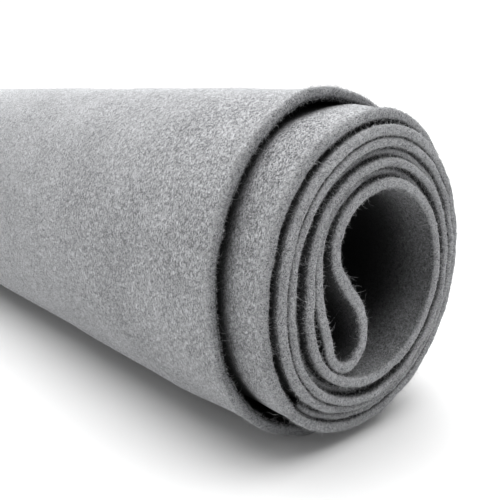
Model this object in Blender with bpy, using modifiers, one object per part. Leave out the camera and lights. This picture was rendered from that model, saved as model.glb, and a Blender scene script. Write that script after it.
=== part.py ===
"""Roll of felt: one cut length of grey felt, folded over once and rolled up from that fold.

Units are metres and +Z is up. The roll lies along X, and its open, stepped end faces +X.
The origin is at the middle of the underside.
"""
import math

import bpy
import numpy as np

# Driving dimensions
THICKNESS = 0.0030        # the felt
WIDTH = 0.450             # the cut width, which lies along the roll
CORE_RADIUS = 0.0323      # outer face of the innermost ply, at the left, before its slack
PLY_PITCH = 0.003225      # from ply to ply where they lie close
FLAT_WIDTH = 0.024        # the strip that bears on the table
STEPS_PER_TURN = 40       # facets in one full turn
FOLD_STEPS = 5            # facets between two rows of FOLD

# Angles are in degrees and wind outwards: 0 at the left as seen from +X, 90 on top, 180 at the
# far side, 270 below. The fold splits the felt into two plies: the inner one ends between two
# turns, and the outer one goes round on its own until it ends against the back of the roll.
INNER_START = 54.0
INNER_END = 1035.0
OUTER_START = 18.0
OUTER_END = 1656.0

# How far out of round every turn is: a soft roll that leans on its lower left side.
OUT_OF_ROUND = (
    # angle, bulge
    (0, -0.0010),
    (45, -0.0003),
    (90, 0.0000),
    (135, -0.0014),
    (180, -0.0019),
    (225, -0.0018),
    (270, 0.0002),
    (315, 0.0014),
    (360, -0.0010),
)

# Slack is how far the ply lies outside an even spiral. Ahead is how far its edge stands out
# along X past the edge of the turn that closes the face of the roll.
INNER_PLY = (
    # angle, slack, ahead
    (0, 0.0000, 0.0026),
    (180, 0.0000, 0.0030),
    (315, 0.0000, 0.0024),
    (360, -0.0016, 0.0022),
    (405, 0.0000, 0.0021),
    (450, 0.0000, 0.0020),
    (720, 0.0000, 0.0022),
    (900, 0.0000, 0.0002),
    (1080, 0.0000, -0.0030),
)
OUTER_PLY = (
    # angle, slack, ahead
    (0, -0.0036, 0.0014),
    (20, -0.0016, 0.0010),
    (50, 0.0000, 0.0003),
    (90, 0.0000, -0.0002),
    (270, 0.0000, -0.0012),
    (315, 0.0000, -0.0014),
    (360, -0.0010, -0.0014),
    (405, 0.0000, -0.0010),
    (450, 0.0000, -0.0006),
    (630, 0.0000, 0.0004),
    (720, 0.0001, 0.0024),
    (810, 0.0005, 0.0016),
    (900, 0.0000, -0.0005),
    (990, 0.0000, -0.0006),
    (1035, 0.0001, -0.0003),
    (1080, -0.0006, 0.0000),
    (1170, -0.0008, -0.0008),
    (1215, -0.0013, -0.0040),
    (1260, -0.0018, -0.0085),
    (1305, -0.0006, -0.0112),
    (1350, -0.0001, -0.0135),
    (1395, 0.0004, -0.0150),
    (1440, -0.0004, -0.0160),
    (1485, 0.0007, -0.0168),
    (1508, 0.0016, -0.0174),
    (1521, 0.0004, -0.0178),
    (1532, -0.0016, -0.0183),
    (1548, -0.0035, -0.0188),
    (1575, -0.0041, -0.0193),
    (1620, -0.0045, -0.0200),
    (1665, -0.0028, -0.0208),
)

# The soft fold at the heart of the roll: points on the middle of the felt's thickness, from the
# inner ply's wall, down round the loop and up again to the outer ply.
FOLD = (
    # across, up
    (-0.0232, 0.0080),
    (-0.0174, -0.0002),
    (-0.0108, -0.0084),
    (-0.0082, -0.0165),
    (-0.0096, -0.0236),
    (-0.0142, -0.0280),
    (-0.0198, -0.0273),
    (-0.0233, -0.0236),
    (-0.0256, -0.0155),
    (-0.0283, -0.0078),
    (-0.0298, 0.0000),
)

FELT_GREY = (0.37, 0.375, 0.385, 1.0)
FELT_ROUGHNESS = 0.95


def free_slopes(knots, values):
    """Slopes for a curve that may swing past its knots, as the fold's outline does."""
    return np.gradient(values, knots)


def level_slopes(knots, values):
    """Slopes for a table that must not overshoot: the harmonic mean of the two chords, or none."""
    chord = np.diff(values) / np.diff(knots)
    before, after = chord[:-1], chord[1:]
    climbs = before * after > 0
    mean = 2 * before * after / np.where(climbs, before + after, 1.0)
    return np.concatenate((chord[:1], np.where(climbs, mean, 0.0), chord[-1:]))


def smooth_through(knots, values, where, slopes=level_slopes):
    """Cubic Hermite curve through the knots."""
    slope = slopes(knots, values)
    cell = np.clip(np.searchsorted(knots, where, side="right") - 1, 0, len(knots) - 2)
    span = knots[cell + 1] - knots[cell]
    t = (where - knots[cell]) / span
    return ((2 * t**3 - 3 * t**2 + 1) * values[cell]
            + (t**3 - 2 * t**2 + t) * span * slope[cell]
            + (3 * t**2 - 2 * t**3) * values[cell + 1]
            + (t**3 - t**2) * span * slope[cell + 1])


def wound_ply(table, plies_out, start, end):
    """Points (ahead, across, up) on the felt's middle, at even angles so that turns run parallel."""
    angle, slack, ahead = np.array(table, dtype=float).T
    direction, bulge = np.array(OUT_OF_ROUND, dtype=float).T
    step = 360.0 / STEPS_PER_TURN
    where = np.arange(start, end + step / 2, step)
    radius = (CORE_RADIUS + PLY_PITCH * (2 * where / 360.0 + plies_out) - THICKNESS / 2
              + smooth_through(angle, slack, where)
              + smooth_through(direction, bulge, where % 360.0))
    turn = np.radians(180.0 - where)
    return np.column_stack((
        smooth_through(angle, ahead, where),
        radius * np.cos(turn),
        radius * np.sin(turn),
    ))


def fold_loop(before, after):
    """Points on the fold between the two plies, its edge eased from one ply's place to the other's."""
    rows = np.vstack((before[-2:, 1:], FOLD, after[:2, 1:]))
    chord = np.concatenate(([0.0], np.cumsum(np.linalg.norm(np.diff(rows, axis=0), axis=1))))
    row = np.arange(1, (len(FOLD) + 1) * FOLD_STEPS) / FOLD_STEPS + 1
    where = np.interp(row, np.arange(len(rows)), chord)
    ahead = np.interp(where, (chord[1], chord[-2]), (before[-1, 0], after[0, 0]))
    across, up = (smooth_through(chord, rows[:, axis], where, free_slopes) for axis in (0, 1))
    return np.column_stack((ahead, across, up))


def bed_down(points):
    """Flatten the lowest turn under the roll's weight, leaving one flat facet FLAT_WIDTH wide."""
    lowest = np.argmin(points[:, 2])
    radius = np.hypot(*points[lowest, 1:])
    bed = -math.sqrt(radius**2 - (FLAT_WIDTH / 2)**2)
    beneath = (np.abs(points[:, 1]) < FLAT_WIDTH / 2) & (points[:, 2] < bed + PLY_PITCH / 2)
    under = np.flatnonzero(beneath)
    ends = under[[0, -1]]
    points[ends, 1] = np.sign(points[ends, 1]) * FLAT_WIDTH / 2
    points[ends, 2] = bed
    return np.delete(points, under[1:-1], axis=0)


def felt_line():
    """The whole cut length seen edge on, from the tucked-in end round the fold to the outer end."""
    inner = wound_ply(INNER_PLY, 0, INNER_START, INNER_END)[::-1]
    outer = wound_ply(OUTER_PLY, 1, OUTER_START, OUTER_END)
    return bed_down(np.vstack((inner, fold_loop(inner, outer), outer)))


def sheet_mesh(name, line):
    """An open sheet: the line at the stepped end and again one cut width behind it."""
    back = line - np.array((WIDTH, 0.0, 0.0))
    points = np.vstack((line, back))
    points -= np.array(((points[:, 0].max() + points[:, 0].min()) / 2,
                        (points[:, 1].max() + points[:, 1].min()) / 2,
                        points[:, 2].min() - THICKNESS / 2))
    count = len(line)
    faces = [(i, i + 1, count + i + 1, count + i) for i in range(count - 1)]
    mesh = bpy.data.meshes.new(name)
    mesh.from_pydata(points.tolist(), [], faces)
    mesh.update()
    return mesh


def felt_material():
    material = bpy.data.materials.new("grey_felt")
    material.use_nodes = True
    shader = material.node_tree.nodes["Principled BSDF"]
    shader.inputs["Base Color"].default_value = FELT_GREY
    shader.inputs["Roughness"].default_value = FELT_ROUGHNESS
    shader.inputs["Metallic"].default_value = 0.0
    return material


def make_roll(collection):
    mesh = sheet_mesh("felt_roll", felt_line())
    mesh.materials.append(felt_material())
    roll = bpy.data.objects.new("felt_roll", mesh)
    collection.objects.link(roll)
    solidify = roll.modifiers.new("felt_thickness", "SOLIDIFY")
    solidify.thickness = THICKNESS
    solidify.offset = 0.0
    solidify.use_even_offset = True
    return roll


for old in list(bpy.data.objects):
    bpy.data.objects.remove(old, do_unlink=True)
parts = bpy.data.collections.new("roll_of_felt")
bpy.context.scene.collection.children.link(parts)
make_roll(parts)
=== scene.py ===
import math

import bpy
import numpy as np
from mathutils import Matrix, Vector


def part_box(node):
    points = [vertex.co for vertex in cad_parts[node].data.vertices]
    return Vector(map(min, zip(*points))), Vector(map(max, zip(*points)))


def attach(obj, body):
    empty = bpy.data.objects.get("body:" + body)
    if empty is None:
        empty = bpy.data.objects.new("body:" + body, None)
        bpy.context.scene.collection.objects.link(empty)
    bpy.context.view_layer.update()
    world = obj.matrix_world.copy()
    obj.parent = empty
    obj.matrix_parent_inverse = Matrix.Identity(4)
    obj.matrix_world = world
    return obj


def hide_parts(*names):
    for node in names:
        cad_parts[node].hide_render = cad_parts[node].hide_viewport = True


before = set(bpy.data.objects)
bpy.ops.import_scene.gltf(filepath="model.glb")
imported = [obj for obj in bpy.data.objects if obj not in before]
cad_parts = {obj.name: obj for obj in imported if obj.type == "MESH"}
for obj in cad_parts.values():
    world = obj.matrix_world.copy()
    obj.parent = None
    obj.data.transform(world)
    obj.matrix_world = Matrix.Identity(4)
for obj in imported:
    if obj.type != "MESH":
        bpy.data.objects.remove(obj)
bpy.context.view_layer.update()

# The felt as it lies wound. One cut length of thick grey felt is doubled over once and rolled up
# from that fold, so two plies wind together from the heart. The inner ply ends between two turns
# and the outer one goes round on alone, its edge drawing back over the top and the far side.
THICKNESS = 0.0030
WIDTH = 0.450              # the cut width, which lies along the roll
CORE_RADIUS = 0.0323       # outer face of the innermost ply, at the left, before its slack
PLY_PITCH = 0.003225       # from ply to ply where they lie close
FLAT_WIDTH = 0.024         # the strip that bears on the table
FLAT_SHARE = 0.40          # of that width is quite flat, to each side of its middle
FLAT_EASE = 0.009          # over which the felt then rises out of the flat
WINDING_STEP = 1.0         # degrees between points on a ply
FOLD_GRIP = 9.0            # degrees of each ply that steer the fold where it leaves them
FOLD_STEPS = 40            # points between two rows of FOLD
LINE_SPACING = 0.00165     # between points of the whole line, measured along the felt

# Angles are in degrees and wind outwards: 0 at the left as seen from the open end, 90 on top, 180
# at the far side, 270 below.
INNER_START, INNER_END = 54.0, 1035.0
OUTER_START, OUTER_END = 18.0, 1656.0

# How far out of round every turn is: a soft roll that leans on its lower left side.
OUT_OF_ROUND = (
    # angle, bulge
    (0, -0.0010),
    (45, -0.0003),
    (90, 0.0000),
    (135, -0.0014),
    (180, -0.0019),
    (225, -0.0018),
    (270, 0.0002),
    (315, 0.0014),
    (360, -0.0010),
)

# Slack is how far the ply lies outside an even spiral. Ahead is how far its edge stands out along
# the roll past the edge of the turn that closes its face.
INNER_PLY = (
    # angle, slack, ahead
    (0, 0.0000, 0.0026),
    (180, 0.0000, 0.0030),
    (315, 0.0000, 0.0024),
    (360, -0.0016, 0.0022),
    (405, 0.0000, 0.0021),
    (450, 0.0000, 0.0020),
    (720, 0.0000, 0.0022),
    (900, 0.0000, 0.0002),
    (1080, 0.0000, -0.0030),
)
OUTER_PLY = (
    # angle, slack, ahead
    (0, -0.0036, 0.0014),
    (20, -0.0016, 0.0010),
    (50, 0.0000, 0.0003),
    (90, 0.0000, -0.0002),
    (270, 0.0000, -0.0012),
    (315, 0.0000, -0.0014),
    (360, -0.0010, -0.0014),
    (405, 0.0000, -0.0010),
    (450, 0.0000, -0.0006),
    (630, 0.0000, 0.0004),
    (720, 0.0001, 0.0024),
    (810, 0.0005, 0.0016),
    (900, 0.0000, -0.0005),
    (990, 0.0000, -0.0006),
    (1035, 0.0001, -0.0003),
    (1080, -0.0006, 0.0000),
    (1170, -0.0008, -0.0008),
    (1215, -0.0013, -0.0040),
    (1260, -0.0018, -0.0085),
    (1305, -0.0006, -0.0112),
    (1350, -0.0001, -0.0135),
    (1395, 0.0004, -0.0150),
    (1440, -0.0004, -0.0160),
    (1485, 0.0007, -0.0168),
    (1508, 0.0016, -0.0174),
    (1521, 0.0004, -0.0178),
    (1532, -0.0016, -0.0183),
    (1548, -0.0035, -0.0188),
    (1575, -0.0041, -0.0193),
    (1620, -0.0045, -0.0200),
    (1665, -0.0028, -0.0208),
)

# The soft fold, seen from the open end and measured from the heart of the roll: from the inner
# ply's wall, down round the loop and up again to the outer ply.
FOLD = (
    # across, up
    (-0.0232, 0.0080),
    (-0.0174, -0.0002),
    (-0.0108, -0.0084),
    (-0.0082, -0.0165),
    (-0.0096, -0.0236),
    (-0.0142, -0.0280),
    (-0.0198, -0.0273),
    (-0.0233, -0.0236),
    (-0.0256, -0.0155),
    (-0.0283, -0.0078),
    (-0.0298, 0.0000),
)


def free_slopes(knots, values):
    """Slopes for a curve that may swing past its knots, as the fold's outline does."""
    return np.gradient(values, knots)


def level_slopes(knots, values):
    """Slopes for a table that must not overshoot: the harmonic mean of the two chords, or none."""
    chord = np.diff(values) / np.diff(knots)
    before, after = chord[:-1], chord[1:]
    climbs = before * after > 0
    mean = 2 * before * after / np.where(climbs, before + after, 1.0)
    return np.concatenate((chord[:1], np.where(climbs, mean, 0.0), chord[-1:]))


def smooth_through(knots, values, where, slopes=level_slopes):
    """Cubic Hermite curve through the knots."""
    slope = slopes(knots, values)
    cell = np.clip(np.searchsorted(knots, where, side="right") - 1, 0, len(knots) - 2)
    span = knots[cell + 1] - knots[cell]
    t = (where - knots[cell]) / span
    return ((2 * t**3 - 3 * t**2 + 1) * values[cell]
            + (t**3 - 2 * t**2 + t) * span * slope[cell]
            + (3 * t**2 - 2 * t**3) * values[cell + 1]
            + (t**3 - t**2) * span * slope[cell + 1])


def eased(value, start, end):
    """0 up to start, 1 from end on, and an even S between."""
    way = np.clip((value - start) / (end - start), 0.0, 1.0)
    return way**2 * (3 - 2 * way)


def distances_along(points):
    """The distance along a row of points to each of them, from 0 at the first."""
    steps = np.linalg.norm(np.diff(points, axis=0), axis=1)
    return np.concatenate(([0.0], np.cumsum(steps)))


def wound_ply(table, plies_out, start, end):
    """Points (ahead, across, up, angle) on a spiral whose radius grows by two ply pitches a turn,
    plus the ply's slack and the roll's bulge there. The inner ply's angles are made negative."""
    angle, slack, ahead = np.array(table, dtype=float).T
    direction, bulge = np.array(OUT_OF_ROUND, dtype=float).T
    where = np.arange(start, end + WINDING_STEP / 2, WINDING_STEP)
    radius = (CORE_RADIUS + PLY_PITCH * (2 * where / 360.0 + plies_out) - THICKNESS / 2
              + smooth_through(angle, slack, where)
              + smooth_through(direction, bulge, where % 360.0))
    turn = np.radians(180.0 - where)
    return np.column_stack((
        smooth_through(angle, ahead, where),
        radius * np.cos(turn),
        radius * np.sin(turn),
        where if plies_out else -where,
    ))


def fold_loop(before, after):
    """Points round the soft fold, a smooth curve through FOLD that joins the two plies. Its edge
    goes evenly from one ply's place to the other's, and its angles are 0."""
    grip = int(FOLD_GRIP / WINDING_STEP)
    rows = np.vstack((before[[-1 - grip, -1], 1:3], FOLD, after[[0, grip], 1:3]))
    chord = distances_along(rows)
    row = np.arange(1, (len(FOLD) + 1) * FOLD_STEPS) / FOLD_STEPS + 1
    where = np.interp(row, np.arange(len(rows)), chord)
    ahead = np.interp(where, (chord[1], chord[-2]), (before[-1, 0], after[0, 0]))
    across, up = (smooth_through(chord, rows[:, axis], where, free_slopes) for axis in (0, 1))
    return np.column_stack((ahead, across, up, np.zeros(len(where))))


def bed_down(points):
    """Flatten the lowest turn where it bears on the table, easing out of the flat to each side."""
    across, up = points[:, 1], points[:, 2]
    radius = np.hypot(*points[np.argmin(up), 1:3])
    bed = -math.sqrt(radius**2 - (FLAT_WIDTH / 2)**2)
    clear = eased(np.abs(across), FLAT_SHARE * FLAT_WIDTH, FLAT_SHARE * FLAT_WIDTH + FLAT_EASE)
    clear = np.where(up < bed + PLY_PITCH / 2, clear, 1.0)
    bedded = points.copy()
    bedded[:, 2] = np.maximum(bed + (up - bed) * clear, bed)
    return bedded


def spaced(points, gap):
    """The same line with its points at equal distances, and the distance along it to each."""
    along = distances_along(points[:, 1:3])
    where = np.linspace(0.0, along[-1], int(along[-1] / gap) + 1)
    return np.column_stack([np.interp(where, along, column) for column in points.T]), where


inner = wound_ply(INNER_PLY, 0, INNER_START, INNER_END)[::-1]
outer = wound_ply(OUTER_PLY, 1, OUTER_START, OUTER_END)
line, along = spaced(bed_down(np.vstack((inner, fold_loop(inner, outer), outer))), LINE_SPACING)
ply_angle, line = line[:, 3], line[:, :3]
FLAT_LENGTH = along[-1]

# Where the part's origin lies, seen from the heart of the roll that the winding is drawn round.
low, high = (np.array(corner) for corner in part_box("felt_roll"))
part_origin = np.array((
    (line[:, 0].max() + line[:, 0].min() - WIDTH) / 2 - (low[0] + high[0]) / 2,
    (line[:, 1].max() + line[:, 1].min()) / 2 - (low[1] + high[1]) / 2,
    line[:, 2].min() - THICKNESS / 2 - low[2],
))
line -= part_origin


# The felt's own thickness and surface. Pressed felt has no weave: its faces undulate a little
# where it has been handled, the outermost turn more than the tight ones. The shears leave the cut
# edges almost half round, swollen where nothing presses on them, and wandering a little.
EDGE_RADIUS = 0.00142      # of both corners of a cut edge
CORNER_POINTS = 5
END_BLUNT = 0.15           # how blunt the two short ends stay, from 0 for a rounded end to 1

# Rows of points over each face, in from the stepped edge. The last one lies 0.2 mm past the start
# of the far edge's corner, so the faces double back there by that much.
ROWS_IN = (0.0017, 0.0023, 0.0033, 0.0050, 0.0075, 0.0110, 0.0160, 0.0230, 0.0320, 0.0440, 0.0600,
           0.0800, 0.1050, 0.1350, 0.1700, 0.2100, 0.2550, 0.3050, 0.3500, 0.3900, 0.4200, 0.4380,
           0.4460, 0.4488)

# A cut edge swells by a share of the room that it has beside the next turn.
SWELL = 0.0006             # at most, to each side
SWELL_SHARE = 0.35
SWELL_CLEAR = 0.0003       # room that is left alone
SWELL_REACH = 0.0028       # how far in from the edge the swelling fades
SQUARE_ON = 0.7            # cosine of the angle up to which a turn counts as beside a point
SAME_STRETCH = 0.012       # felt nearer than this along the line is the same stretch of it
ROOM_LIMIT = 0.004
EVENED_OVER = 9            # points of the line

# Heights, and shortest and longest wavelengths, of the soft relief. An edge wanders along the roll.
FEW, MANY = 24, 40         # waves in one relief
HANDLED, HANDLED_WAVES = 0.00006, (0.030, 0.120)
HANDLED_OUTSIDE = 0.00028  # more of it on the outermost turn
LAST_TURN = 0.42           # felt at the outer end that has it: a little over one turn
LAST_TURN_EASE = 0.05      # of that felt, over which it grows
DIMPLED, DIMPLED_WAVES = 0.000045, (0.006, 0.016)
WANDER, WANDER_WAVES = 0.00022, (0.012, 0.060)
NICKS, NICKS_WAVES = 0.00010, (0.0035, 0.009)
WANDER_REACH = 0.006       # how far in from the edge the wandering fades

# Two places where the felt leaves its even winding. A span gives where along the roll, measured in
# from the stepped edge, that starts, is full, begins to fade and is gone.
PUSHED_UP_SPAN = (0.0015, 0.0160, 0.36, 0.42)
PUSHED_UP = (
    # angle, how far the outer ply rises behind its edge, to lie nearer the turn outside it
    (1098.0, 0.0000),
    (1107.0, 0.0004),
    (1116.0, 0.0012),
    (1125.0, 0.0021),
    (1134.0, 0.0026),
    (1143.0, 0.0023),
    (1152.0, 0.0014),
    (1161.0, 0.0009),
    (1168.0, 0.0010),
    (1175.0, 0.0014),
    (1181.0, 0.0010),
    (1187.0, 0.0005),
    (1194.0, 0.0000),
)
HANGING_SPAN = (0.0, 0.045, 0.24, 0.36)
HANGING = (
    # angle, how far the outermost turn hangs away from the roll along its middle
    (1335.0, 0.0000),
    (1350.0, 0.0006),
    (1362.0, 0.0015),
    (1374.0, 0.0022),
    (1390.0, 0.0019),
    (1415.0, 0.0009),
    (1450.0, 0.0000),
)
rng = np.random.default_rng(7)


def round_the_section():
    """Offsets (in from the stepped edge, out from the middle) once round the felt's section: half
    the cut edge with a quarter circle for its corner, a face, half the far edge, and back below."""
    bend = np.radians(np.linspace(0.0, 90.0, CORNER_POINTS))
    corner = np.column_stack((EDGE_RADIUS * (1 - np.sin(bend)),
                              THICKNESS / 2 - EDGE_RADIUS * (1 - np.cos(bend))))[::-1]
    near = np.vstack(((0.0, 0.0), corner))
    face = np.column_stack((ROWS_IN, np.full(len(ROWS_IN), THICKNESS / 2)))
    far = np.column_stack((WIDTH - near[::-1, 0], near[::-1, 1]))
    over = np.vstack((near, face, far))
    under = (over * (1.0, -1.0))[::-1][1:-1]
    return np.vstack((over, under))


def room_beside(side):
    """How far off the next turn is from every point of the line, on the side that the normal points
    to (1) or on the other one (-1): at most ROOM_LIMIT, and evened out over neighbouring points."""
    away = line[None, :, 1:] - line[:, None, 1:]
    apart = np.linalg.norm(away, axis=-1)
    facing = np.einsum("ijk,ik->ij", away, normal[:, 1:]) * side > SQUARE_ON * apart
    elsewhere = np.abs(along[None] - along[:, None]) > SAME_STRETCH
    room = np.where(facing & elsewhere, apart, 1.0).min(axis=1) - THICKNESS
    room = np.pad(np.clip(room, 0.0, ROOM_LIMIT), EVENED_OVER // 2, mode="edge")
    weights = np.hanning(EVENED_OVER) / np.hanning(EVENED_OVER).sum()
    return np.convolve(room, weights, mode="valid")


def ripple(place, wavelengths, waves):
    """Smooth random relief between about -1 and 1: sine waves in random directions, summed and
    divided by the square root of their number."""
    place = np.asarray(place, dtype=float)
    total = np.zeros(place.shape[:-1])
    for wavelength in rng.uniform(*wavelengths, waves):
        heading = rng.normal(size=place.shape[-1])
        heading /= np.linalg.norm(heading)
        total += np.sin(place @ heading * (2 * math.pi / wavelength) + rng.uniform(0, 2 * math.pi))
    return total / math.sqrt(waves)


def off_the_roll(table, span):
    """The table's value at every row of the line, none beyond the table's ends, times an S up and
    an S down over the span."""
    angle, value = np.array(table).T
    amount = smooth_through(angle, value, np.clip(ply_angle, angle[0], angle[-1]))[:, None]
    starts, full, fades, gone = span
    return amount * eased(inward, starts, full) * (1 - eased(inward, fades, gone))


# On the inner ply the normal points away from the heart of the roll, on the outer ply towards it.
tangent = np.gradient(line[:, 1:], axis=0)
tangent /= np.linalg.norm(tangent, axis=1, keepdims=True)
normal = np.column_stack((np.zeros(len(line)), tangent[:, 1], -tangent[:, 0]))

section = round_the_section()
section_out = section[None, :, 1]
lengthways, inward = np.meshgrid(along, section[:, 0], indexing="ij")
ends_in = np.minimum(along, FLAT_LENGTH - along)[:, None]

room = np.where(section_out > 0, room_beside(1)[:, None], room_beside(-1)[:, None])
swell = np.minimum(np.maximum(room - SWELL_CLEAR, 0) * SWELL_SHARE, SWELL) * np.sign(section_out)
swell = swell * (np.exp(-(inward / SWELL_REACH)**2) + np.exp(-((WIDTH - inward) / SWELL_REACH)**2))

cloth = np.stack((lengthways, inward), axis=-1)
outermost = np.clip((lengthways - (FLAT_LENGTH - LAST_TURN)) / LAST_TURN_EASE, 0.0, 1.0)
handled = ripple(cloth, HANDLED_WAVES, FEW) * (HANDLED + HANDLED_OUTSIDE * outermost)
dimpled = ripple(cloth, DIMPLED_WAVES, MANY) * DIMPLED
wander = (ripple(along[:, None], WANDER_WAVES, FEW) * WANDER
          + ripple(along[:, None], NICKS_WAVES, MANY) * NICKS)[:, None]
wander = (wander * np.exp(-inward / WANDER_REACH)
          + wander[::-1] * np.exp(-(WIDTH - inward) / WANDER_REACH))
end_round = np.sqrt(np.clip(1 - np.clip(1 - ends_in / EDGE_RADIUS, 0, 1)**2, END_BLUNT, 1))

out = ((section_out + swell) * end_round + handled + dimpled
       - off_the_roll(PUSHED_UP, PUSHED_UP_SPAN) - off_the_roll(HANGING, HANGING_SPAN))
points = line[:, None, :] + normal[:, None, :] * out[..., None]
points[..., 0] += wander - inward
points[..., 2] = np.maximum(points[..., 2], low[2])
count, ring = inward.shape


def walls_between(here, there):
    """Quads between rings of point numbers and the rings that follow them."""
    return np.stack((here, np.roll(here, -1, axis=-1), np.roll(there, -1, axis=-1), there), axis=-1)


def caps_across(first_point, last_point):
    """Faces across the first and last ring: each joins two neighbours on the upper face to the two
    opposite them on the lower one, and drops a corner where the two meet."""
    here, there = np.arange(0, ring // 2), np.arange(1, ring // 2 + 1)
    cap = np.stack((here, there, (ring - there) % ring, (ring - here) % ring), axis=-1)
    caps = np.concatenate((first_point + cap[:, ::-1], last_point + cap))
    return [tuple(dict.fromkeys(corners)) for corners in caps.tolist()]


def in_scene(name, data):
    """An object at the origin that shows this mesh, light or camera."""
    made = bpy.data.objects.new(name, data)
    bpy.context.scene.collection.objects.link(made)
    return made


index = np.arange(count * ring).reshape(count, ring)
walls = walls_between(index[:-1], index[1:]).reshape(-1, 4)
felt_mesh = bpy.data.meshes.new("felt_sheet")
felt_mesh.from_pydata(points.reshape(-1, 3).tolist(), [],
                      walls.tolist() + caps_across(index[0, 0], index[-1, 0]))
felt_mesh.update()

# The felt's own coordinates: metres along the cut length and metres round its section. The last
# wall of each ring closes it, so two of its corners lie at the whole way round, not at 0.
round_section = distances_along(section)
full_round = round_section[-1] + np.linalg.norm(section[-1] - section[0])
loop_vertex = np.empty(len(felt_mesh.loops), dtype=np.int32)
felt_mesh.loops.foreach_get("vertex_index", loop_vertex)
uv = np.column_stack((along[loop_vertex // ring], round_section[loop_vertex % ring]))
closing = np.arange(walls.size).reshape(-1, ring, 4)[:, -1, 1:3].ravel()
uv[closing, 1] = full_round
cloth_uv = felt_mesh.uv_layers.new(name="cloth")
cloth_uv.uv.foreach_set("vector", uv.astype(np.float32).ravel())

# Two values for the material: where the felt is cut, and how deep it lies in the open core, which
# sets the painted shade there for the little light that reaches the core from either end. The
# core's wall is the innermost turn and the fold.
CORE_PAINTED_SHADE_RAMP = (0.006, 0.030)              # from here to here, in from either end


def point_value(name, values):
    """Give every point of the felt a number that its material can read."""
    made = felt_mesh.attributes.new(name, "FLOAT", "POINT")
    made.data.foreach_set("value", values.astype(np.float32).ravel())


from_edge = np.minimum(inward, WIDTH - inward)
point_value("cut_edge", np.maximum(np.clip(1 - from_edge / EDGE_RADIUS, 0, 1),
                                   np.clip(1 - ends_in / (THICKNESS / 2), 0, 1)))
# The core's inner face gets painted shade that grows with depth in from either end.
innermost = (ply_angle > -INNER_START - 360) & (ply_angle <= 0)
core_wall = innermost[:, None] & (section_out < 0)
point_value("core_painted_shade", core_wall * eased(from_edge, *CORE_PAINTED_SHADE_RAMP))
felt_mesh.shade_smooth()
felt_sheet = in_scene("felt_sheet", felt_mesh)


class Socket:
    """One socket of a material: sums and products written on it add their Math nodes."""

    def __init__(self, tree, end=None):
        self.tree = tree
        self.end = end

    def node(self, kind, values, output=0, **settings):
        made = self.tree.nodes.new(kind)
        for name, setting in settings.items():
            setattr(made, name, setting)
        for name, value in values.items():
            if isinstance(value, Socket):
                value.feeds(made, name)
            else:
                made.inputs[name].default_value = value
        return Socket(self.tree, made.outputs[output])

    def feeds(self, node, name):
        self.tree.links.new(self.end, node.inputs[name])

    def maths(self, operation, first, second=0.0):
        return self.node("ShaderNodeMath", {0: first, 1: second}, operation=operation)

    def __add__(self, other):
        return self.maths("ADD", self, other)

    def __sub__(self, other):
        return self.maths("SUBTRACT", self, other)

    def __rsub__(self, other):
        return self.maths("SUBTRACT", other, self)

    def __mul__(self, other):
        return self.maths("MULTIPLY", self, other)

    __radd__ = __add__
    __rmul__ = __mul__

    def __pow__(self, power):
        return self.maths("POWER", self, power)

    def larger(self, other):
        return self.maths("MAXIMUM", self, other)

    def noise(self, scale, detail, roughness=0.5):
        """Noise in the space whose coordinates this socket gives."""
        return self.node("ShaderNodeTexNoise", {
            "Vector": self, "Scale": scale, "Detail": detail, "Roughness": roughness,
        }, noise_dimensions="3D")

    def mix(self, share, first, second):
        """The first colour where share is 0, the second where it is 1."""
        return self.node("ShaderNodeMix", {0: share, 6: first, 7: second},
                         output=2, data_type="RGBA", clamp_factor=True)


def new_material(name, finish):
    """A material whose shader has these values all over, and that shader."""
    material = bpy.data.materials.new(name)
    material.use_nodes = True
    shader = material.node_tree.nodes["Principled BSDF"]
    for socket, value in finish.items():
        shader.inputs[socket].default_value = value
    return material, shader


# The felt's finish: matte grey wool of mixed dark and light fibres that lie in three layers, with a
# coarser mottle from the pressing and a faint cloudiness. A painted sheen lightens it where it is
# seen edge on, for the raised nap catching light, and painted shade darkens it in the gaps, near
# other felt and in the core.
DARK_FELT = (0.150, 0.152, 0.156, 1.0)
LIGHT_FELT = (0.640, 0.647, 0.661, 1.0)
# Painted shade: the near-black colour that the felt is darkened to in the gaps, near other felt and
# in the core.
PAINTED_SHADE_FELT = (0.015, 0.015, 0.016, 1.0)     # in the gaps and the core, where no light reaches
MIDDLE_TONE = 0.465        # from 0, all dark felt, to 1, all light felt
FIBRE_CONTRAST = 0.86
MOTTLE_CONTRAST = 0.78
CLOUD_CONTRAST = 0.30
CUT_DARKER = 0.05
# Painted sheen: how much the colour lightens where the surface is seen edge on, for the nap
# catching light.
PAINTED_SHEEN_LIGHTER, PAINTED_SHEEN_POWER = 0.34, 4.0
MOTTLE_SCALE = 760.0
CLOUD_SCALE = 34.0

CURL = 0.00062             # how far apart the fibres of one layer lie
STRETCH = 0.55             # spacing across the fibres over spacing along them
HALF_FIBRE = 0.065         # half the width of a fibre, as a share of the noise around its middle
LAYERS = (
    # heading in degrees, seed
    (12, 3.1),
    (77, 8.4),
    (141, 5.2),
)

# Painted shade from ambient occlusion: felt with other felt near it is darkened towards the
# near-black colour.
PAINTED_SHADE_REACH = 0.060      # how far off other felt still shelters a point from the light
PAINTED_SHADE_RAYS = 6
PAINTED_SHADE_GAIN, PAINTED_SHADE_POWER = 1.50, 1.9
# How much darker the painted shade makes the felt at full depth in the core.
CORE_PAINTED_SHADE = 0.90

FIBRE_RELIEF = 0.00010
MOTTLE_RELIEF = 0.00028
CUT_RELIEF = 0.00040       # more mottle relief where the felt is cut
RELIEF_STRENGTH = 0.9


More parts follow.
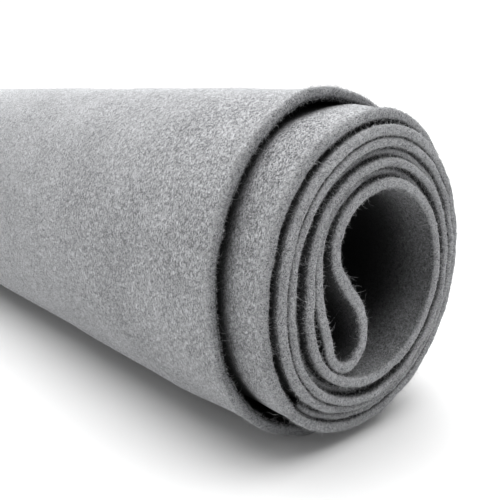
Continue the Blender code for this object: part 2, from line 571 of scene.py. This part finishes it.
def fibres_lying(place, dimensions, heading, seed):
    """Fibres of one layer: the lines where a noise stretched along their heading is near its mean,
    1 on the line and 0 beside it."""
    turned = place.node("ShaderNodeMapping", {
        "Vector": place,
        "Location": (seed, seed * 1.7, seed * 0.6),
        "Rotation": (0.0, 0.0, math.radians(heading)),
        "Scale": (STRETCH / CURL, 1 / CURL, 1 / CURL),
    })
    noise = place.node("ShaderNodeTexNoise", {
        "Vector": turned, "Scale": 1.0, "Detail": 1.0, "Roughness": 0.6, "Distortion": 0.6,
    }, noise_dimensions=dimensions)
    off_line = place.maths("ABSOLUTE", noise - 0.5)
    return (1 - off_line * (1 / HALF_FIBRE)).larger(0.0)


felt_material, felt_shader = new_material("pressed_grey_felt", {
    "Roughness": 0.95,
    "Specular IOR Level": 0.06,
    "Sheen Weight": 0.05,
    "Sheen Roughness": 0.5,
})
felt = Socket(felt_material.node_tree)
face_place = felt.node("ShaderNodeUVMap", {}, uv_map="cloth")
solid_place = felt.node("ShaderNodeTexCoord", {}, output="Object")
cut_edge = felt.node("ShaderNodeAttribute", {}, output="Fac", attribute_name="cut_edge")
core_painted_shade = felt.node("ShaderNodeAttribute", {}, output="Fac", attribute_name="core_painted_shade")
# How edge on the surface is seen, for the painted sheen.
painted_sheen = felt.node("ShaderNodeLayerWeight", {"Blend": 0.5}, output="Facing")
# Ambient occlusion that drives the painted shade.
painted_shade_ao = felt.node("ShaderNodeAmbientOcclusion", {"Distance": PAINTED_SHADE_REACH}, output="AO",
                    samples=PAINTED_SHADE_RAYS, only_local=True)

on_face, on_cut = 0.0, 0.0
for heading, seed in LAYERS:
    on_face = fibres_lying(face_place, "2D", heading, seed).larger(on_face)
    on_cut = fibres_lying(solid_place, "3D", heading, seed).larger(on_cut)
fibres = on_face * (1 - cut_edge) + on_cut * cut_edge
mottle = solid_place.noise(MOTTLE_SCALE, 3.0, 0.7)
cloud = solid_place.noise(CLOUD_SCALE, 2.0)

# The felt's tone: grain, mottle and cloud, a little darker where cut, plus the painted sheen seen
# edge on.
tone = (MIDDLE_TONE + (fibres - 0.5) * FIBRE_CONTRAST + (mottle - 0.5) * MOTTLE_CONTRAST
        + (cloud - 0.5) * CLOUD_CONTRAST - cut_edge * CUT_DARKER + painted_sheen**PAINTED_SHEEN_POWER * PAINTED_SHEEN_LIGHTER)
# Painted shade: the colour darkens towards near black where ambient occlusion finds felt near, and
# deep in the core.
painted_light_share = (painted_shade_ao * PAINTED_SHADE_GAIN)**PAINTED_SHADE_POWER * (1 - core_painted_shade * CORE_PAINTED_SHADE)
colour_before_painted_shade = felt.mix(tone, DARK_FELT, LIGHT_FELT)
felt.mix(painted_light_share, PAINTED_SHADE_FELT, colour_before_painted_shade).feeds(felt_shader, "Base Color")

relief = fibres * FIBRE_RELIEF + (mottle - 0.5) * (MOTTLE_RELIEF + cut_edge * CUT_RELIEF)
felt.node("ShaderNodeBump", {
    "Strength": RELIEF_STRENGTH, "Distance": 1.0, "Height": relief,
}).feeds(felt_shader, "Normal")
felt_mesh.materials.append(felt_material)

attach(felt_sheet, "root")
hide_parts("felt_roll")


# Loose fibres. Felt is a mat of short curled fibres: where the shears cut it a fringe of them
# stands out round both corners of the edge, a few long enough to reach the next turn, and thinner
# ones stand off the outside of the outermost turn.
FIBRE_SIDES = 3
BEND = (0.2, 1.3)          # how far a fibre's tip bends to one side, as a share of its length
BEND_BACK = 0.35           # of the bend is lost from the way ahead
SWAY = (0.0, 0.16)         # how far it sways at right angles to that, also as a share
SWAY_ANGLE = 5.5           # radians of the sway's sine from root to tip
TAPER, TAPER_POWER = 0.75, 1.5
ROOT_DEPTH = 0.00008       # how far under the surface a fibre starts
NEAREST_SHARE = 0.25       # of a piece's reach is bare, on the middle of the cut edge
LONG_TAIL = 3.0            # shape of the gamma distribution of the longer fibres
NEAR_EDGE, FAR_EDGE = 0.0, 0.5             # shares of the way round the section


def even_lengths(total, shortest, longest):
    """Lengths anywhere between two sizes."""
    return rng.uniform(shortest, longest, total)


def tailed_lengths(total, shortest, spread):
    """Lengths from the shortest up, most of them short and a few long: a gamma distribution."""
    return rng.gamma(LONG_TAIL, spread, total) + shortest


EDGE_HAIRS = (
    # name, number, edge, reach, lift, segments, kind of lengths, their two sizes, radii
    ("near_tufts", 13500, NEAR_EDGE, 0.0030, (0.3, 1.0), 2,
     even_lengths, (0.0004, 0.0010), (0.00005, 0.00010)),
    ("near_nap", 13500, NEAR_EDGE, 0.0026, (0.1, 0.7), 2,
     even_lengths, (0.0006, 0.0014), (0.00004, 0.00008)),
    ("far_tufts", 7000, FAR_EDGE, 0.0030, (0.3, 1.0), 2,
     even_lengths, (0.0004, 0.0010), (0.00005, 0.00010)),
    ("near_hairs", 5500, NEAR_EDGE, 0.0036, (0.1, 0.75), 4,
     tailed_lengths, (0.0008, 0.0005), (0.000034, 0.000060)),
)
OUTSIDE_HAIRS = 7000
OUTSIDE_ROWS = 240         # rows of the line, from its outer end, that go about once round
OUTSIDE_LIFT = (0.02, 0.45)
OUTSIDE_LENGTHS = (0.0010, 0.0006)
OUTSIDE_RADII = (0.000025, 0.000045)
LONG_SEGMENTS = 4


def fibre_mesh(name, roots, headings, segments, lengths, radii):
    """Curled tapering hairs. Each is a heading that bends towards one side with the square of the
    way along it and sways with a sine, carried as a three sided tube. None goes under the table."""
    total = len(roots)
    way = np.linspace(0.0, 1.0, segments + 1)[None, :, None]
    headings = headings / np.linalg.norm(headings, axis=1, keepdims=True)
    side = np.cross(headings, rng.normal(size=(total, 3)))
    side /= np.linalg.norm(side, axis=1, keepdims=True)
    other = np.cross(headings, side)
    bend = rng.uniform(*BEND, (total, 1, 1))
    sway = rng.uniform(*SWAY, (total, 1, 1))
    phase = rng.uniform(0, 2 * math.pi, (total, 1, 1))
    path = (headings[:, None] * (way - BEND_BACK * bend * way**2)
            + side[:, None] * bend * way**2
            + other[:, None] * sway * (np.sin(way * SWAY_ANGLE + phase) - np.sin(phase)))
    path = roots[:, None] + path * lengths[:, None, None]
    spin = (np.arange(FIBRE_SIDES) * (2 * math.pi / FIBRE_SIDES))[None, None, :, None]
    thick = radii[:, None, None, None] * (1 - TAPER * way[..., None]**TAPER_POWER)
    across = np.cos(spin) * side[:, None, None] + np.sin(spin) * other[:, None, None]
    rings = path[:, :, None] + thick * across
    rings[..., 2] = np.maximum(rings[..., 2], low[2])
    corner = np.arange(total * (segments + 1) * FIBRE_SIDES).reshape(total, segments + 1, -1)
    tubes = walls_between(corner[:, :-1], corner[:, 1:]).reshape(-1, 4)
    closed = np.concatenate((corner[:, 0, ::-1], corner[:, -1]))
    mesh = bpy.data.meshes.new(name)
    mesh.from_pydata(rings.reshape(-1, 3).tolist(), [], tubes.tolist() + closed.tolist())
    mesh.update()
    mesh.shade_smooth()
    return mesh


# The felt's surface once more as a grid that closes round the section, with its outward normals.
ring_points = np.concatenate((points, points[:, :1]), axis=1)
ring_along = np.concatenate((round_section, [full_round]))
outwards = np.cross(np.gradient(ring_points, axis=1), np.gradient(ring_points, axis=0))
outwards /= np.linalg.norm(outwards, axis=2, keepdims=True)


def on_the_cloth(row, ring_place):
    """Points and outward normals at these rows of the line and distances round the section, each
    evened out between the four grid points round it."""
    column = np.interp(ring_place % full_round, ring_along, np.arange(len(ring_along)))
    i, j = (np.minimum(value.astype(int), limit - 2)
            for value, limit in ((row, count), (column, ring + 1)))
    u, v = (row - i)[:, None], (column - j)[:, None]
    return [(grid[i, j] * (1 - u) + grid[i + 1, j] * u) * (1 - v)
            + (grid[i, j + 1] * (1 - u) + grid[i + 1, j + 1] * u) * v
            for grid in (ring_points, outwards)]


def hairs_on(name, rows, ring_places, lift, segments, lengths, radii):
    """Hairs rooted just under the cloth's surface: lift is how steeply they leave it, from 0 for
    lying on it to 1 for upright."""
    roots, away = on_the_cloth(rows, ring_places)
    away /= np.linalg.norm(away, axis=1, keepdims=True)
    level = np.cross(away, rng.normal(size=(len(rows), 3)))
    level /= np.linalg.norm(level, axis=1, keepdims=True)
    steep = rng.uniform(*lift, len(rows))[:, None]
    headings = away * steep + level * (1 - steep)
    return in_scene(name, fibre_mesh(name, roots - away * ROOT_DEPTH, headings,
                                     segments, lengths, radii))


def beside_the_cut(total, middle, reach):
    """Random rows and places round the section, within reach of the middle of one cut edge."""
    off_middle = rng.uniform(NEAREST_SHARE * reach, reach, total) * rng.choice((-1.0, 1.0), total)
    return rng.uniform(0, count - 1, total), middle + off_middle


hair_pieces = []
for name, total, middle, reach, lift, segments, draw, sizes, radii in EDGE_HAIRS:
    rows, places = beside_the_cut(total, middle * full_round, reach)
    hair_pieces.append(hairs_on(name, rows, places, lift, segments,
                                draw(total, *sizes), rng.uniform(*radii, total)))

# The lower half of the section is the outside of the roll on the outer ply.
rows = count - 1 - rng.uniform(0, OUTSIDE_ROWS, OUTSIDE_HAIRS)
places = rng.uniform(0, full_round / 2, OUTSIDE_HAIRS) + full_round / 2
hair_pieces.append(hairs_on("outside_hairs", rows, places, OUTSIDE_LIFT, LONG_SEGMENTS,
                            tailed_lengths(OUTSIDE_HAIRS, *OUTSIDE_LENGTHS),
                            rng.uniform(*OUTSIDE_RADII, OUTSIDE_HAIRS)))

# The fibres are the felt's own wool, some dark and some light, a little glossier than the mat.
DARK_FIBRE = (0.30, 0.303, 0.31, 1.0)
LIGHT_FIBRE = (0.80, 0.805, 0.815, 1.0)
FIBRE_MIX_SCALE, FIBRE_MIX_CONTRAST = 900.0, 2.5

fibre_material, fibre_shader = new_material("loose_grey_fibres", {
    "Roughness": 0.7,
    "Specular IOR Level": 0.3,
})
fibre = Socket(fibre_material.node_tree)
hank = fibre.node("ShaderNodeTexCoord", {}, output="Object").noise(FIBRE_MIX_SCALE, 1.0)
share = (hank - 0.5) * FIBRE_MIX_CONTRAST + 0.5
fibre.mix(share, DARK_FIBRE, LIGHT_FIBRE).feeds(fibre_shader, "Base Color")

for piece in hair_pieces:
    piece.data.materials.append(fibre_material)
    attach(piece, "root")


# The studio: a broad white table, an even white surround, one large soft light nearly overhead and
# two weak ones low at the side and in front.
WHITE = (1.0, 1.0, 1.0, 1.0)
TABLE_GREY = (0.72, 0.72, 0.72, 1.0)
TABLE_GLOW = 0.03
TABLE_REACH = 6.0          # from the roll to each edge of the table
FILL, BACKDROP = 0.33, 1.1                 # the surround as a light, and as it is seen
SOFTBOXES = (
    # name, degrees round from the roll's far end, degrees up, spread in degrees, strength
    ("overhead_softbox", -42.0, 77.0, 90.0, 5.0),
    ("side_softbox", 65.0, 6.0, 70.0, 0.85),
    ("front_softbox", -170.0, 20.0, 90.0, 0.50),
)


def soft_light(name, round_from_end, up, spread, strength):
    """A far soft light, tipped down from overhead to its height and then turned round the roll."""
    lamp = bpy.data.lights.new(name, "SUN")
    lamp.angle = math.radians(spread)
    lamp.energy = strength
    in_scene(name, lamp).rotation_euler = (
        0.0, -(math.pi / 2 - math.radians(up)), math.radians(round_from_end))


table_mesh = bpy.data.meshes.new("table_top")
corners = [(x * TABLE_REACH, y * TABLE_REACH, 0.0) for x, y in ((-1, -1), (1, -1), (1, 1), (-1, 1))]
table_mesh.from_pydata(corners, [], [(0, 1, 2, 3)])
table_mesh.update()
table_top = in_scene("table_top", table_mesh)
table_white, table_shader = new_material("white_table", {
    "Base Color": TABLE_GREY,
    "Roughness": 0.9,
    "Specular IOR Level": 0.1,
    "Emission Color": WHITE,
    "Emission Strength": TABLE_GLOW,
})
table_mesh.materials.append(table_white)

surround = bpy.data.worlds.new("white_surround")
surround.use_nodes = True
nodes, links = surround.node_tree.nodes, surround.node_tree.links
as_light, as_seen = nodes["Background"], nodes.new("ShaderNodeBackground")
for shine, strength in ((as_light, FILL), (as_seen, BACKDROP)):
    shine.inputs["Color"].default_value = WHITE
    shine.inputs["Strength"].default_value = strength
sight = nodes.new("ShaderNodeLightPath")
choice = nodes.new("ShaderNodeMixShader")
links.new(sight.outputs["Is Camera Ray"], choice.inputs[0])
links.new(as_light.outputs[0], choice.inputs[1])
links.new(as_seen.outputs[0], choice.inputs[2])
links.new(choice.outputs[0], nodes["World Output"].inputs[0])
bpy.context.scene.world = surround

for softbox in SOFTBOXES:
    soft_light(*softbox)


# The camera, at the photograph's viewing angle: it looks along the roll from beside its open end.
SENSOR_WIDTH = 36.0        # millimetres
PHOTO_WIDTH = 500.0        # pixels
FOCAL_LENGTH = 647.163     # in the photograph's pixels
CAMERA_PLACE = (0.129649, -0.172116, 0.061459)     # metres from the heart of the roll
LOOKS_DOWN, LOOKS_ROUND = 13.844, 48.616           # degrees
GAMMA = 0.80

camera_data = bpy.data.cameras.new("camera")
camera_data.sensor_width = SENSOR_WIDTH
camera_data.lens = FOCAL_LENGTH / PHOTO_WIDTH * SENSOR_WIDTH
camera_data.clip_start = 0.01
camera = in_scene("camera", camera_data)
camera.location = np.array(CAMERA_PLACE) - part_origin
camera.rotation_euler = (math.radians(90.0 - LOOKS_DOWN), 0.0, math.radians(LOOKS_ROUND))
bpy.context.scene.camera = camera
grading = bpy.context.scene.view_settings
grading.view_transform = "Standard"
grading.exposure = 0.0
grading.gamma = GAMMA
